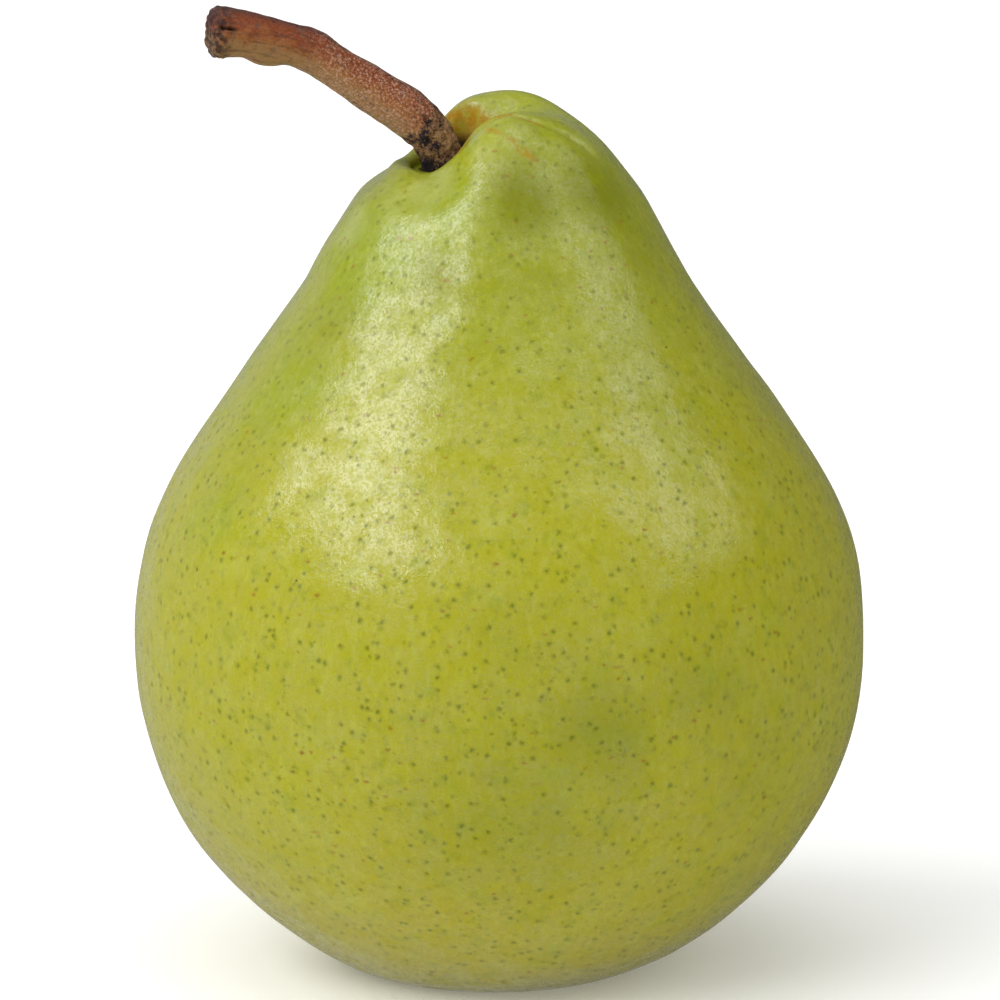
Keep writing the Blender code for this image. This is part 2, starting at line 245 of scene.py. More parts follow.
def stand_in_for(piece, node_name, material):
    """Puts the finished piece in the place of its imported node."""
    piece.data.materials.append(material)
    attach(piece, "root")
    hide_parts(node_name)


def points_and_normals(piece):
    """The piece's points, in millimetres, and the ways that its surface faces there."""
    read = []
    for name in ("co", "normal"):
        numbers = np.empty(3 * len(piece.data.vertices), np.float32)
        piece.data.vertices.foreach_get(name, numbers)
        read.append(numbers.reshape(-1, 3).astype(float))
    return read[0] / MM, read[1]


def sink_in(piece, places, normals, depths):
    """Moves each point into the surface by its depth, in millimetres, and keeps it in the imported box."""
    moved = (places - normals * depths[:, None]) * MM
    moved = np.clip(moved, *PACKED_BOX)
    piece.data.vertices.foreach_set("co", moved.astype(np.float32).ravel())
    piece.data.update()


def smooth_step(low, high, values):
    """From 0 to 1, smoothly, as the values go from low to high. High may be the smaller."""
    share = np.clip((values - low) / (high - low), 0.0, 1.0)
    return share * share * (3 - 2 * share)


def along_path(places, path):
    """How far each place is from a path, and how far along the path its nearest point is."""
    best = np.full(len(places), np.inf)
    lengths = np.zeros(len(places))
    length = 0.0
    for start, stop in zip(np.array(path), np.array(path)[1:]):
        run = stop - start
        share = np.clip((places - start) @ run / (run @ run), 0.0, 1.0)
        distance = np.linalg.norm(places - start - share[:, None] * run, axis=1)
        nearer = distance < best
        best[nearer] = distance[nearer]
        lengths[nearer] = length + share[nearer] * np.linalg.norm(run)
        length += np.linalg.norm(run)
    return best, lengths


def ripple(places, size, seed):
    """Smooth noise from -1 to 1 at each place, with swells of that size."""
    return np.array([noise.noise(Vector(place)) for place in places / size + seed])


def paint(piece, name, amounts):
    """Keeps a number, or a direction, for each point of the piece, for its material to read."""
    if amounts.ndim == 1:
        layer = piece.data.attributes.new(name, "FLOAT", "POINT")
        layer.data.foreach_set("value", amounts.astype(np.float32))
    else:
        layer = piece.data.attributes.new(name, "FLOAT_VECTOR", "POINT")
        layer.data.foreach_set("vector", amounts.astype(np.float32).ravel())


# Materials

# A Mix node's sockets for colours have the same names as those for numbers, so they go by their places
MIXED_UNDER = 6
MIXED_OVER = 7
MIXED_COLOUR = 2


def colour(red, green, blue):
    """A colour as it is seen on a screen, from 0 to 255, turned to the linear values of a material."""
    shares = (value / 255 for value in (red, green, blue))
    return (*(s / 12.92 if s <= 0.04045 else ((s + 0.055) / 1.055) ** 2.4 for s in shares), 1.0)


def new_material(name):
    """A material, its node tree and its shader."""
    material = bpy.data.materials.new(name)
    material.use_nodes = True
    return material, material.node_tree, material.node_tree.nodes["Principled BSDF"]


def step(tree, kind, sockets, **settings):
    """Adds a node whose sockets, by name or number, get a value or another node's output."""
    made = tree.nodes.new("ShaderNode" + kind)
    for name, value in settings.items():
        setattr(made, name, value)
    for name, value in sockets.items():
        if isinstance(value, bpy.types.NodeSocket):
            tree.links.new(value, made.inputs[name])
        else:
            made.inputs[name].default_value = value
    return made.outputs


def worked_out(tree, operation, first, second):
    """One number from two."""
    return step(tree, "Math", {0: first, 1: second}, operation=operation)[0]


def sum_of(tree, first, second):
    return worked_out(tree, "ADD", first, second)


def product_of(tree, first, second):
    return worked_out(tree, "MULTIPLY", first, second)


def greater_of(tree, first, second):
    return worked_out(tree, "MAXIMUM", first, second)


def fade(tree, value, low, high, bottom=0.0, top=1.0):
    """From bottom to top, smoothly, as the value goes from low to high. High may be the smaller."""
    sockets = {"Value": value, "From Min": low, "From Max": high, "To Min": bottom, "To Max": top}
    return step(tree, "MapRange", sockets, interpolation_type="SMOOTHSTEP")["Result"]


def tint(tree, share, under, over):
    """The colour under, covered by the colour over as much as the share says."""
    sockets = {"Factor": share, MIXED_UNDER: under, MIXED_OVER: over}
    return step(tree, "Mix", sockets, data_type="RGBA")[MIXED_COLOUR]


def mottle(tree, place, size, detail=3.0, rough=0.5):
    """Noise from 0 to 1 with patches about that size."""
    sockets = {"Vector": place, "Scale": 1 / (size * MM), "Detail": detail, "Roughness": rough}
    return step(tree, "TexNoise", sockets)["Fac"]


def drift(tree, place, size, reach, detail=3.0, rough=0.5):
    """Noise about that size that wanders around nought, mostly by less than half its reach."""
    return product_of(tree, sum_of(tree, mottle(tree, place, size, detail, rough), -0.5), reach)


def patches(tree, place, size, low, high, most=1.0, detail=3.0, rough=0.5):
    """Ragged patches: nothing where the noise is under low, and the most where it is over high."""
    return fade(tree, mottle(tree, place, size, detail, rough), low, high, 0.0, most)


def scattered(tree, place, spacing):
    """How far each place is from the nearest of many scattered points, as a share of their spacing."""
    sockets = {"Vector": place, "Scale": 1 / (spacing * MM)}
    return step(tree, "TexVoronoi", sockets, feature="F1")["Distance"]


def spots(tree, place, spacing, radius, soft=0.9):
    """Round spots scattered through the piece: 1 in their middle, and 0 outside their radius."""
    return fade(tree, scattered(tree, place, spacing), radius / spacing, radius * (1 - soft) / spacing)


def stretched(tree, place, across, turn=(0, 0, 0)):
    """The place, squeezed so that a pattern on it comes out longer in some directions."""
    return step(tree, "Mapping", {"Vector": place, "Scale": across, "Rotation": turn})["Vector"]


def roughened(tree, place, size, reach):
    """The place, moved about by noise of that size, so that a pattern on it gets ragged edges."""
    wander = step(tree, "TexNoise", {"Vector": place, "Scale": 1 / (size * MM), "Detail": 1.0})["Color"]
    wander = step(tree, "VectorMath", {0: wander, 1: (0.5, 0.5, 0.5)}, operation="SUBTRACT")["Vector"]
    wander = step(tree, "VectorMath", {0: wander, "Scale": 2 * reach * MM}, operation="SCALE")["Vector"]
    return step(tree, "VectorMath", {0: place, 1: wander}, operation="ADD")["Vector"]


def painted(tree, name):
    """The number that the piece keeps under that name for each place."""
    return step(tree, "Attribute", {}, attribute_name=name)["Fac"]


def relief(tree, height, depth, under=None):
    """Bump whose height, from 0 to 1, stands for that depth."""
    sockets = {"Height": height, "Distance": depth * MM, "Strength": 1.0}
    if under is not None:
        sockets["Normal"] = under
    return step(tree, "Bump", sockets)["Normal"]


# The skin's colours, and those of the marks on it
SKIN_GREEN = colour(141, 147, 26)
SKIN_YELLOW = colour(158, 156, 22)
SKIN_OLIVE = colour(158, 150, 22)
SKIN_VIVID = colour(134, 148, 6)
SKIN_PALE = colour(172, 176, 70)
# Darker olive for dull mottles, and for painted shade in the dull patches
SKIN_DULL_AND_SHADE = colour(118, 122, 22)
# Pale grey-green for waxy bloom and painted sheen
SKIN_BLOOM_AND_SHEEN = colour(166, 174, 100)
PORE_GREEN = colour(98, 108, 12)
PORE_DARK = colour(64, 62, 12)
RUST = colour(134, 82, 0)
PRICK_BROWN = colour(44, 34, 16)
RUSSET_GOLD = colour(184, 136, 20)
RUSSET_BROWN = colour(122, 82, 10)
# Painted shade, dark brown, for the hollow right of the stem's foot
HOLLOW_PAINTED_SHADE = colour(44, 30, 16)

# The skin changes colour from its foot to its crown at these heights, which wander up and down
FOOT_HEIGHTS = (34 * MM, 4 * MM)
CROWN_HEIGHTS = (48 * MM, 82 * MM)
HEIGHT_DRIFT = dict(size=17.0, reach=40 * MM)

# Mottling on the skin: the size of its patches, the noise at which a patch starts and is whole, how much it
# covers at most, and how detailed and rough its edge is
PALE_CLOUDS = dict(size=5.0, low=0.5, high=0.8, most=0.45, detail=4.0, rough=0.6)
PALE_STREAKS = dict(size=0.7, low=0.45, high=0.75, most=0.4, detail=3.0, rough=0.65)
DULL_MOTTLES = dict(size=1.6, low=0.52, high=0.75, most=0.4, detail=4.0, rough=0.65)
GREEN_FLUSHES = dict(size=3.2, low=0.5, high=0.75, most=0.3, detail=3.0, rough=0.55)
DOT_FIELDS = dict(size=4.0, low=0.3, high=0.6, most=0.65)
SPECK_FIELDS = dict(size=9.0, low=0.36, high=0.54, most=0.75)
DASH_FIELDS = dict(size=7.0, low=0.46, high=0.6, most=0.5)

# How far apart the pores lie, how wide they and their dark hearts are, and how much each covers
PORE_SPACING = 1.35
PORE_RADIUS = 0.5
PORE_COVER = 0.66
HEART_RADIUS = 0.27
HEART_COVER = 0.3
PORE_HEIGHTS = (80 * MM, 50 * MM)
PORES_AT_CROWN = 0.75

# The finer marks: how far apart they lie, their radius and how soft they are, and how each kind is turned
# and stretched, so that no two kinds fall together
DOTS = dict(spacing=1.2, radius=0.3)
SPECKS = dict(spacing=2.1, radius=0.34)
DASHES = dict(spacing=3.0, radius=0.38)
PRICKS = dict(spacing=4.6, radius=0.19, soft=0.6)
PORES_LIE = dict(across=(1, 1, 1), turn=(0.4, 0.2, 1.1))
SPECKS_LIE = dict(across=(0.8, 0.8, 1.2), turn=(0.9, 0.5, 0.3))
DASHES_LIE = dict(across=(0.4, 0.4, 1.5), turn=(0.1, 0.15, 0.7))
PRICKS_LIE = dict(across=(1, 1, 1), turn=(1.9, 0.7, 0.4))
PRICK_COVER = 0.85


def skin_ground(tree, place, streaked):
    """The skin's colour: greener above, yellower below, and patchy, with painted shade and painted sheen in
    places.
    """
    height = step(tree, "SeparateXYZ", {"Vector": place})["Z"]
    height = sum_of(tree, height, drift(tree, place, **HEIGHT_DRIFT))
    skin = tint(tree, fade(tree, height, *FOOT_HEIGHTS), SKIN_YELLOW, SKIN_OLIVE)
    skin = tint(tree, fade(tree, height, *CROWN_HEIGHTS), skin, SKIN_GREEN)
    green = sum_of(tree, painted(tree, "green"), drift(tree, place, size=9.0, reach=1.0))
    skin = tint(tree, fade(tree, green, 0.1, 0.9, top=0.85), skin, SKIN_VIVID)
    skin = tint(tree, patches(tree, place, **PALE_CLOUDS), skin, SKIN_PALE)
    skin = tint(tree, patches(tree, streaked, **PALE_STREAKS), skin, SKIN_PALE)
    skin = tint(tree, patches(tree, place, **DULL_MOTTLES), skin, SKIN_DULL_AND_SHADE)
    # Painted shade: the dull patches darken the skin
    dull_and_shaded = sum_of(tree, painted(tree, "dull_and_shaded"), drift(tree, place, size=5.0, reach=0.5))
    skin = tint(tree, fade(tree, dull_and_shaded, 0.0, 0.9, top=0.9), skin, SKIN_DULL_AND_SHADE)
    # Waxy bloom and painted sheen make the skin paler
    bloom_and_sheen = sum_of(tree, painted(tree, "bloom_and_sheen"), drift(tree, place, size=2.5, reach=0.6))
    skin = tint(tree, fade(tree, bloom_and_sheen, 0.0, 0.9, top=0.55), skin, SKIN_BLOOM_AND_SHEEN)
    skin = tint(tree, patches(tree, place, **GREEN_FLUSHES), skin, SKIN_VIVID)
    return skin, height


def skin_pores(tree, place, ragged, height):
    """Soft green pores and finer green dots, fewer towards the crown, and the pores' dark hearts."""
    moved = stretched(tree, ragged, **PORES_LIE)
    fewer = fade(tree, height, *PORE_HEIGHTS, bottom=PORES_AT_CROWN)
    far = scattered(tree, moved, PORE_SPACING)
    pores = fade(tree, far, PORE_RADIUS / PORE_SPACING, 0.0, top=PORE_COVER)
    hearts = fade(tree, far, HEART_RADIUS / PORE_SPACING, 0.02, top=HEART_COVER)
    dots = product_of(tree, spots(tree, ragged, **DOTS), patches(tree, place, **DOT_FIELDS))
    pores = greater_of(tree, pores, dots)
    return product_of(tree, pores, fewer), product_of(tree, hearts, fewer)


def skin_rust(tree, place, ragged):
    """Rust specks, and short dashes that run round the pear."""
    moved = stretched(tree, ragged, **SPECKS_LIE)
    specks = product_of(tree, spots(tree, moved, **SPECKS), patches(tree, place, **SPECK_FIELDS))
    moved = stretched(tree, ragged, **DASHES_LIE)
    dashes = product_of(tree, spots(tree, moved, **DASHES), patches(tree, place, **DASH_FIELDS))
    return greater_of(tree, specks, dashes)


def skin_pricks(tree, ragged):
    """A few sharp dark pricks in the skin."""
    moved = stretched(tree, ragged, **PRICKS_LIE)
    return product_of(tree, spots(tree, moved, **PRICKS), PRICK_COVER)


def skin_russet(tree, place):
    """How much golden russet covers the skin, in broken flakes, and its colour."""
    ragged_edge = drift(tree, place, size=2.0, reach=0.9, detail=4.0, rough=0.65)
    russet = sum_of(tree, painted(tree, "russet"), ragged_edge)
    russet = fade(tree, russet, 0.2, 0.95)
    flakes = mottle(tree, place, size=0.8, detail=4.0, rough=0.7)
    flaked = fade(tree, flakes, 0.36, 0.6, bottom=0.4, top=0.95)
    gold = tint(tree, mottle(tree, place, size=1.2), RUSSET_BROWN, RUSSET_GOLD)
    return product_of(tree, russet, flaked), gold


def skin_gloss(tree, place, pores, russet):
    """How rough the waxy skin is: uneven, and duller on pores and russet."""
    wax = mottle(tree, place, size=1.7, detail=4.0, rough=0.65)
    gloss = fade(tree, wax, 0.35, 0.65, bottom=0.15, top=0.34)
    gloss = sum_of(tree, gloss, product_of(tree, russet, 0.25))
    return sum_of(tree, gloss, product_of(tree, pores, 0.15))


def skin_sparkle(tree, place, pores, russet):
    """How strongly the skin mirrors light: in fine grains and broad patches, and less where it is dull."""
    grains = mottle(tree, place, size=0.3, detail=3.0, rough=0.7)
    sparkle = fade(tree, grains, 0.38, 0.6, bottom=0.36, top=1.05)
    broad = mottle(tree, place, size=3.6, detail=3.0, rough=0.6)
    sparkle = product_of(tree, sparkle, fade(tree, broad, 0.36, 0.58, bottom=0.45, top=1.0))
    for mark, kept in ((pores, 0.3), (russet, 0.2), (painted(tree, "dull_and_shaded"), 0.3)):
        sparkle = product_of(tree, sparkle, fade(tree, mark, 0.0, 1.0, bottom=1.0, top=kept))
    return sparkle


def skin_material():
    """Waxy green skin, yellower below, with pores, rust specks, russet in its hollows, and painted shade
    and sheen.
    """
    material, tree, shader = new_material("pear_skin")
    place = step(tree, "TexCoord", {})["Object"]
    streaked = stretched(tree, place, across=(1.0, 1.0, 0.3))
    ragged = roughened(tree, place, size=0.45, reach=0.22)
    skin, height = skin_ground(tree, place, streaked)
    pores, hearts = skin_pores(tree, place, ragged, height)
    russet, gold = skin_russet(tree, place)
    skin = tint(tree, pores, skin, PORE_GREEN)
    skin = tint(tree, hearts, skin, PORE_DARK)
    skin = tint(tree, skin_rust(tree, place, ragged), skin, RUST)
    skin = tint(tree, skin_pricks(tree, ragged), skin, PRICK_BROWN)
    skin = tint(tree, russet, skin, gold)
    # Painted shade darkens the hollow right of the stem's foot
    skin = tint(tree, painted(tree, "hollow_shade"), skin, HOLLOW_PAINTED_SHADE)
    tree.links.new(skin, shader.inputs["Base Color"])
    tree.links.new(skin_gloss(tree, place, pores, russet), shader.inputs["Roughness"])
    tree.links.new(skin_sparkle(tree, place, pores, russet), shader.inputs["Specular IOR Level"])
    swells = relief(tree, mottle(tree, place, size=2.6, detail=3.0, rough=0.55), depth=0.1)
    grain = relief(tree, mottle(tree, place, size=0.3, detail=2.0, rough=0.6), depth=0.025, under=swells)
    tree.links.new(grain, shader.inputs["Normal"])
    return material


def patchwork(places, kinds):
    """How strongly the patches cover each place."""
    covers = [
        strength * smooth_step(reach, 0, np.linalg.norm(places - middle, axis=1))
        for middle, reach, strength in kinds
    ]
    return np.max(covers, axis=0)


def paint_skin(fruit, places, beside):
    """Keeps, for its material, the skin's russet, green, dullness, painted shade, bloom and painted sheen
    at each place.
    """
    strokes = [
        strength * smooth_step(reach, 0, along_path(places, path)[0])
        for path, reach, strength in RUSSET_STROKES
    ]
    paint(fruit, "russet", np.max(strokes, axis=0))
    paint(fruit, "green", patchwork(places, GREEN_PATCHES))
    paint(fruit, "dull_and_shaded", patchwork(places, DULL_AND_SHADED_PATCHES))
    paint(fruit, "bloom_and_sheen", patchwork(places, BLOOM_AND_SHEEN_PATCHES))
    # Painted shade in the hollow right of the stem's foot
    hollow_shade = smooth_step(*HOLLOW_BESIDE, beside) * smooth_step(*HOLLOW_UNDER, places[:, 2])
    paint(fruit, "hollow_shade", hollow_shade * smooth_step(*HOLLOW_RIGHT_OF, places[:, 0]))


def fill_beside_stem(places, beside):
    """Raises the skin on the left of the stem's foot, so that no moat is left there."""
    across, height = places[:, 0], places[:, 2]
    lift = (FILL_TOP - height).clip(0) * smooth_step(*FILL_OVER, height)
    places[:, 2] += lift * smooth_step(*FILL_LEFT_OF, across) * smooth_step(*FILL_BESIDE, beside)


def skin_depths(places):
    """How deep the skin sinks at each place, in the fold on the crown and in its slight hollows."""
    sink = FOLD_DEPTH * smooth_step(FOLD_WIDTH, 0, along_path(places, FOLD_LINE)[0])
    for seed, (size, depth) in enumerate(SKIN_SWELLS):
        sink += depth * ripple(places, size, seed)
    return sink * smooth_step(*UNEVEN_OVER, places[:, 2])


def make_skin():
    """The fruit, with its uneven skin and the fold on its crown."""
    fruit = fine_copy("fruit", "fruit_skin", FRUIT_LEVELS)
    places, normals = points_and_normals(fruit)
    beside = np.linalg.norm((places - STEM_AXIS[1])[:, :2], axis=1)
    paint_skin(fruit, places, beside)
    fill_beside_stem(places, beside)
    sink_in(fruit, places, normals, skin_depths(places))
    stand_in_for(fruit, "fruit", skin_material())


# The stem

# The bark's colours, and those of the crust on the stem's foot
BARK_RUST = colour(120, 52, 12)
BARK_AMBER = colour(142, 84, 34)
BARK_PLUM = colour(70, 36, 32)
BARK_TAN = colour(144, 106, 64)
BARK_GREY = colour(92, 78, 66)
BARK_OLIVE = colour(116, 106, 34)
BARK_PINK = colour(196, 154, 128)
BARK_DARK = colour(46, 26, 22)
# Near black, for the crust and for the painted shade in the stem's cracks and pits
CRUST_AND_SHADE_BLACK = colour(30, 25, 32)
CRUST_BROWN = colour(122, 90, 60)
CRUST_TAN = colour(172, 138, 96)

# Mottling on the bark, given in the same way as the skin's
GREY_PATCHES = dict(size=1.2, low=0.54, high=0.7, most=0.6, detail=4.0, rough=0.7)
DARK_FIBRES = dict(size=0.42, low=0.5, high=0.72, most=0.6, detail=4.0, rough=0.65)
PALE_FIBRES = dict(size=0.3, low=0.56, high=0.75, most=0.2, detail=4.0, rough=0.7)
PALE_FLECKS = dict(size=0.28, low=0.46, high=0.66, most=0.85, detail=5.0, rough=0.8)
DARK_SPECKS = dict(size=0.5, low=0.58, high=0.7, most=0.75, detail=4.0, rough=0.7)

# The crust is blacker towards its left and its foot, between these places
CRUST_SIDES = (-8.0 * MM, -4.5 * MM)
CRUST_HEIGHTS = (82.5 * MM, 86.5 * MM)

# How strongly the bark mirrors light
BARK_SHINE = 0.25


def bark_ground(tree, place, fibres, weathered):
    """The bark's colours from its top to its underside, with its fibres, flecks and dark specks."""
    upper = painted(tree, "upper")
    side = sum_of(tree, upper, drift(tree, place, size=1.7, reach=1.9, detail=5.0, rough=0.7))
    bark = tint(tree, fade(tree, side, -0.5, 0.2), BARK_TAN, BARK_AMBER)
    bark = tint(tree, fade(tree, side, 0.0, 0.6, top=0.95), bark, BARK_RUST)
    bark = tint(tree, fade(tree, upper, 0.8, 1.0, top=0.8), bark, BARK_PLUM)
    bark = tint(tree, fade(tree, side, -0.75, -1.15, top=0.7), bark, BARK_OLIVE)
    bark = tint(tree, patches(tree, place, **GREY_PATCHES), bark, BARK_GREY)
    bark = tint(tree, patches(tree, fibres, **DARK_FIBRES), bark, BARK_DARK)
    bark = tint(tree, patches(tree, fibres, **PALE_FIBRES), bark, BARK_PINK)
    flecks = patches(tree, place, **PALE_FLECKS)
    flecks = product_of(tree, flecks, sum_of(tree, weathered, 0.15))
    bark = tint(tree, flecks, bark, BARK_PINK)
    return tint(tree, patches(tree, place, **DARK_SPECKS), bark, BARK_DARK)


def bark_crust(tree, place):
    """The corky crust on the stem's foot: black below and on its left, with tan lumps on its right."""
    parts = step(tree, "SeparateXYZ", {"Vector": place})
    across, height = parts["X"], parts["Z"]
    lumps = drift(tree, place, size=1.5, reach=0.5, detail=2.0)
    crumbs = sum_of(tree, mottle(tree, place, size=0.32, detail=5.0, rough=0.8), lumps)
    crumbs = sum_of(tree, crumbs, fade(tree, across, *CRUST_SIDES, bottom=-0.08, top=0.05))
    crumbs = sum_of(tree, crumbs, fade(tree, height, *CRUST_HEIGHTS, bottom=-0.07, top=0.03))
    crust = tint(tree, fade(tree, crumbs, 0.43, 0.53), CRUST_AND_SHADE_BLACK, CRUST_BROWN)
    return tint(tree, fade(tree, crumbs, 0.54, 0.68, top=0.9), crust, CRUST_TAN)


def bark_colour(tree, place, fibres, weathered, crusted):
    """The bark with its crusted foot, its broken end, and painted shade in its cracks and pits."""
    bark = bark_ground(tree, place, fibres, weathered)
    edge = sum_of(tree, crusted, drift(tree, place, size=1.3, reach=2.4, detail=5.0, rough=0.75))
    bark = tint(tree, fade(tree, edge, 0.3, 0.75), bark, bark_crust(tree, place))
    crumbs = mottle(tree, place, size=0.6, detail=4.0, rough=0.7)
    crumbled = fade(tree, crumbs, 0.4, 0.6, bottom=0.2, top=0.9)
    bark = tint(tree, product_of(tree, painted(tree, "broken"), crumbled), bark, BARK_DARK)
    # Painted shade, near black, in the cracks and in the pits between the crumbs
    return tint(tree, product_of(tree, painted(tree, "painted_crack_shade"), 0.9), bark, CRUST_AND_SHADE_BLACK)


def bark_material():
    """Weathered bark: red-brown and glossy on top, flecked tan below, and crusted black at its foot."""
    material, tree, shader = new_material("stem_bark")
    place = step(tree, "TexCoord", {})["Object"]
    grain = step(tree, "Attribute", {}, attribute_name="grain")["Vector"]
    fibres = roughened(tree, grain, size=0.5, reach=0.15)
    weathered = painted(tree, "weathered")
    crusted = painted(tree, "crust")
    bark = bark_colour(tree, place, fibres, weathered, crusted)
    tree.links.new(bark, shader.inputs["Base Color"])
    gloss = fade(tree, weathered, 0.2, 0.9, bottom=0.3, top=0.6)
    gloss = sum_of(tree, gloss, patches(tree, place, size=0.8, low=0.4, high=0.65, most=0.25))
    gloss = sum_of(tree, gloss, product_of(tree, crusted, 0.3))
    tree.links.new(gloss, shader.inputs["Roughness"])
    shader.inputs["Specular IOR Level"].default_value = BARK_SHINE
    ridges = relief(tree, mottle(tree, fibres, size=0.35, detail=4.0, rough=0.65), depth=0.16)
    lumps = mottle(tree, place, size=0.32, detail=4.0, rough=0.75)
    tree.links.new(relief(tree, lumps, depth=0.12, under=ridges), shader.inputs["Normal"])
    return material


def unit(directions):
    """The same directions, each one long."""
    return directions / np.linalg.norm(directions, axis=1)[:, None].clip(1e-9)


def round_the_stem(places):
    """How far each place is along the stem, its rise and turn round it from -1 to 1, and the length."""
    axis = np.array(STEM_AXIS)
    knots = np.concatenate([[0.0], np.cumsum(np.linalg.norm(np.diff(axis, axis=0), axis=1))])
    along = along_path(places, STEM_AXIS)[1]
    middle, ahead, behind = (
        np.stack([np.interp(along + more, knots, axis[:, side]) for side in range(3)], axis=1)
        for more in (0.0, RUN_REACH, -RUN_REACH)
    )
    run = unit(ahead - behind)
    out = places - middle
    out = unit(out - run * np.sum(out * run, axis=1)[:, None])
    top = unit(STEM_UPWARDS - run * (run @ STEM_UPWARDS)[:, None])
    front = np.cross(run, top)
    return along, np.sum(out * top, axis=1), np.sum(out * front, axis=1), knots[-1]


def bark_depths(places, grain, crusted, crumbled):
    """How deep the bark sinks at each place, and how dark the painted shade in its cracks and pits is
    there.
    """
    crumbs = ripple(places, CRUMB_SIZE, seed=9)
    sink = FIBRE_DEPTH * ripple(grain, FIBRE_WIDTH, seed=3) * (1 - crumbled)
    sink += LUMP_DEPTH * ripple(places, LUMP_SIZE, seed=5)
    sink += CRUST_DEPTH * ripple(places, CRUST_SIZE, seed=7) * crusted
    sink += CRUMB_DEPTH * crumbs * crumbled
    # Painted shade in the pits between the crumbs, and then in the cracks
    pit_and_crack_shade = PIT_SHADE * (smooth_step(*PIT_CRUMBS, crumbs) * crumbled)
    frayed = CRACK_FRAY * ripple(places, FRAY_SIZE, seed=11)
    for path, width, depth in STEM_CRACKS:
        opening = smooth_step(width, 0, along_path(places, path)[0] + frayed)
        sink += depth * opening
        pit_and_crack_shade = np.maximum(pit_and_crack_shade, opening)
    return sink, pit_and_crack_shade


def make_bark():
    """The stem, with fibres along its bark, a crusted foot and a crumbled, cracked end."""
    stem = fine_copy("stem", "stem_bark", STEM_LEVELS)
    places, normals = points_and_normals(stem)
    along, rise, turn, whole = round_the_stem(places)
    grain = np.stack([rise * STEM_RADIUS, turn * STEM_RADIUS, along * FIBRE_WIDTH / FIBRE_LENGTH], axis=1)
    crusted = smooth_step(CRUST_LENGTH, ALL_CRUST_LENGTH, along)
    crumbled = smooth_step(whole - CRUMB_LENGTH, whole - ALL_BROKEN_LENGTH, along)
    sink, pit_and_crack_shade = bark_depths(places, grain, crusted, crumbled)
    # Painted shade for the cracks and pits
    paint(stem, "painted_crack_shade", pit_and_crack_shade)
    paint(stem, "broken", smooth_step(whole - BROKEN_LENGTH, whole - ALL_BROKEN_LENGTH, along))
    paint(stem, "weathered", smooth_step(whole - GLOSSY_LENGTH, whole - WEATHERED_LENGTH, along))
    paint(stem, "grain", grain * MM)
    paint(stem, "upper", rise)
    paint(stem, "crust", crusted)
    sink_in(stem, places, normals, sink)
    stand_in_for(stem, "stem", bark_material())


# The calyx

SEPAL_DARK = colour(52, 38, 24)
SEPAL_BROWN = colour(110, 86, 56)
SEPAL_GREY = colour(150, 132, 100)


def dried_material():
    """Dried sepals, brown with grey patches."""
    material, tree, shader = new_material("dried_sepals")
    place = step(tree, "TexCoord", {})["Object"]
    leaf = tint(tree, mottle(tree, place, size=1.6, detail=4.0, rough=0.6), SEPAL_DARK, SEPAL_BROWN)
    leaf = tint(tree, patches(tree, place, size=0.4, low=0.55, high=0.75, most=0.6), leaf, SEPAL_GREY)
    tree.links.new(leaf, shader.inputs["Base Color"])
    gloss = fade(tree, mottle(tree, place, size=0.8), 0.3, 0.7, bottom=0.7, top=0.95)
    tree.links.new(gloss, shader.inputs["Roughness"])
    wrinkles = relief(tree, mottle(tree, place, size=0.35, detail=4.0, rough=0.7), depth=0.08)
    tree.links.new(wrinkles, shader.inputs["Normal"])
    return material


def make_calyx():
    """The dried flower end, with wrinkled sepals."""
    calyx = fine_copy("calyx", "calyx_dried", CALYX_LEVELS)
    places, normals = points_and_normals(calyx)
    sink_in(calyx, places, normals, WRINKLE_DEPTH * ripple(places, WRINKLE_SIZE, seed=2))
    stand_in_for(calyx, "calyx", dried_material())


# The floor, the lights and the camera

WHITE = (1, 1, 1, 1)

# The floor is a square of this many metres, and glows a little so that the pear's shadow on it stays soft
FLOOR_SIZE = 6.0
FLOOR_WHITE = colour(250, 250, 250)
FLOOR_ROUGHNESS = 0.9
FLOOR_SHINE = 0.1
FLOOR_GLOW = 0.18

# The studio's walls, which light the pear from all round: how bright they are, how dark they get on their
# shaded side, and where that side is, in degrees
WALL_LIGHT = 0.52
WALL_SHADE = 0.15
SHADED_AZIMUTH = 120
SHADED_ELEVATION = 5

# The camera: the place that it looks at, how far it stands from it in metres, how many degrees over it, and
# how wide its sensor is and what it sees there
LOOK_AT = Vector((0, 0, 49.3)) * MM
CAMERA_DISTANCE = 0.9
CAMERA_ELEVATION = 12.0
SENSOR_WIDTH = 36.0
VIEW_WIDTH = 104.0

# Soft boxes as (name, azimuth from the front towards the right, elevation, how far it is turned in its
# own plane, distance, width, height, brightness), in degrees and metres
SOFT_BOXES = (
    ("key_box", -60, 45, -18, 2.0, 2.3, 0.95, 4.0),
    ("fill_box", 78, 41, 0, 2.0, 1.15, 1.25, 1.7),
    ("top_box", 0, 85, 0, 2.0, 1.8, 1.8, 1.3),
)


def towards(azimuth, elevation):
    """A direction from the pear, by azimuth from the front to the right and by elevation, in degrees."""
    turn, rise = math.radians(azimuth), math.radians(elevation)
    return Vector((math.sin(turn) * math.cos(rise), -math.cos(turn) * math.cos(rise), math.sin(rise)))


def facing(thing, place, target, roll=0):
    """Puts the thing there with its -Z axis towards the target, rolled about it by so many degrees."""
    thing.location = place
    thing.rotation_mode = "QUATERNION"
    about = Quaternion((0, 0, 1), math.radians(roll))
    thing.rotation_quaternion = (target - place).to_track_quat("-Z", "Y") @ about


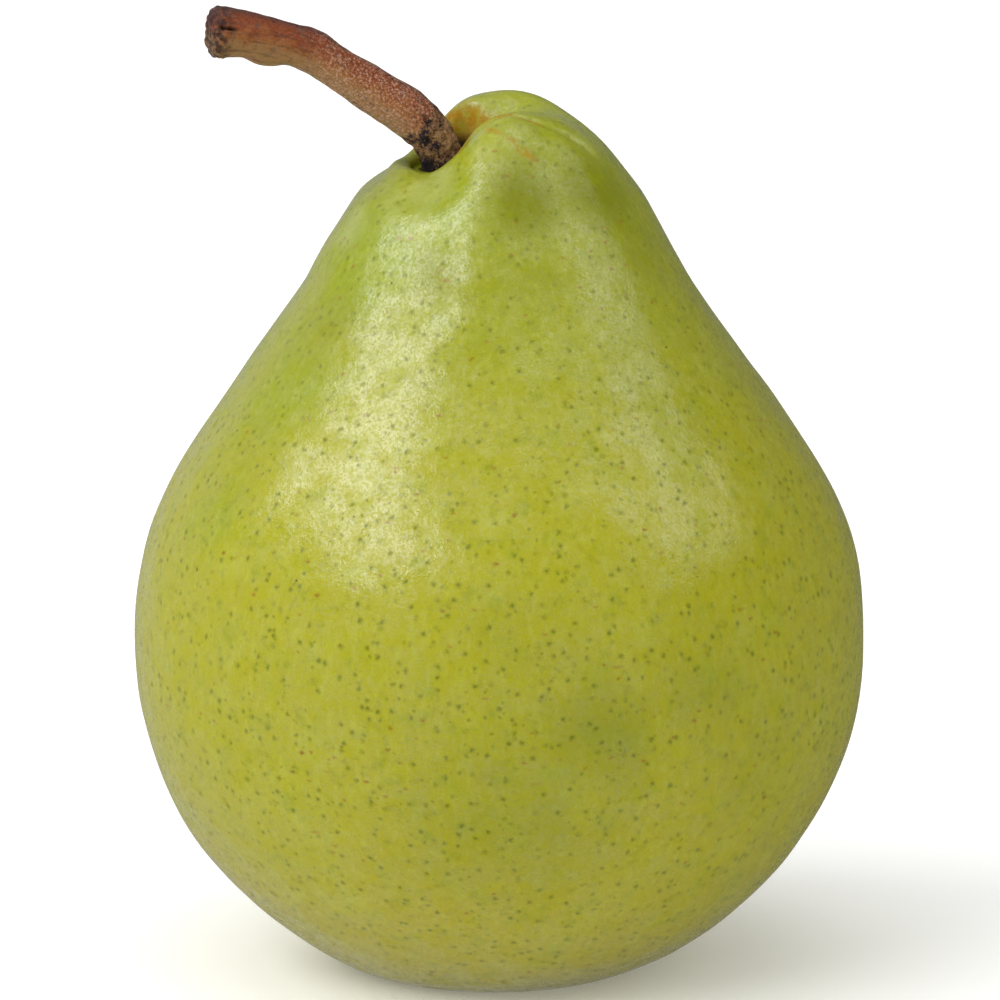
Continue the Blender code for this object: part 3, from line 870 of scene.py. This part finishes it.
def make_floor():
    """A pale floor that shows no mirror image in the skin."""
    bpy.ops.mesh.primitive_plane_add(size=FLOOR_SIZE)
    floor = bpy.context.object
    floor.name = "floor"
    material, _, shader = new_material("pale_floor")
    shader.inputs["Base Color"].default_value = FLOOR_WHITE
    shader.inputs["Roughness"].default_value = FLOOR_ROUGHNESS
    shader.inputs["Specular IOR Level"].default_value = FLOOR_SHINE
    shader.inputs["Emission Color"].default_value = WHITE
    shader.inputs["Emission Strength"].default_value = FLOOR_GLOW
    floor.data.materials.append(material)
    floor.visible_glossy = False


def make_lights():
    """The studio's walls and its soft boxes."""
    world = bpy.data.worlds.new("studio")
    world.use_nodes = True
    tree = world.node_tree
    away = step(tree, "TexCoord", {})["Generated"]
    shaded = towards(SHADED_AZIMUTH, SHADED_ELEVATION)
    facing_shade = step(tree, "VectorMath", {0: away, 1: shaded}, operation="DOT_PRODUCT")["Value"]
    wall = fade(tree, facing_shade, 0.0, 0.8, WALL_LIGHT, WALL_SHADE)
    tree.links.new(wall, tree.nodes["Background"].inputs["Strength"])
    tree.nodes["Background"].inputs["Color"].default_value = WHITE
    bpy.context.scene.world = world
    for name, azimuth, elevation, roll, distance, width, height, brightness in SOFT_BOXES:
        light = bpy.data.lights.new(name, "AREA")
        light.shape = "RECTANGLE"
        light.size, light.size_y = width, height
        light.energy = brightness * math.pi * width * height
        box = bpy.data.objects.new(name, light)
        box.visible_camera = False
        bpy.context.scene.collection.objects.link(box)
        facing(box, LOOK_AT + towards(azimuth, elevation) * distance, LOOK_AT, roll)


def make_camera():
    """The photograph's camera."""
    lens = bpy.data.cameras.new("camera")
    lens.sensor_width = SENSOR_WIDTH
    lens.lens = SENSOR_WIDTH * CAMERA_DISTANCE / (VIEW_WIDTH * MM)
    lens.clip_start = 0.01
    camera = bpy.data.objects.new("camera", lens)
    bpy.context.scene.collection.objects.link(camera)
    facing(camera, LOOK_AT + towards(0, CAMERA_ELEVATION) * CAMERA_DISTANCE, LOOK_AT)
    bpy.context.scene.camera = camera
    bpy.context.scene.view_settings.view_transform = "Standard"


def main():
    make_skin()
    make_bark()
    make_calyx()
    make_floor()
    make_lights()
    make_camera()


main()
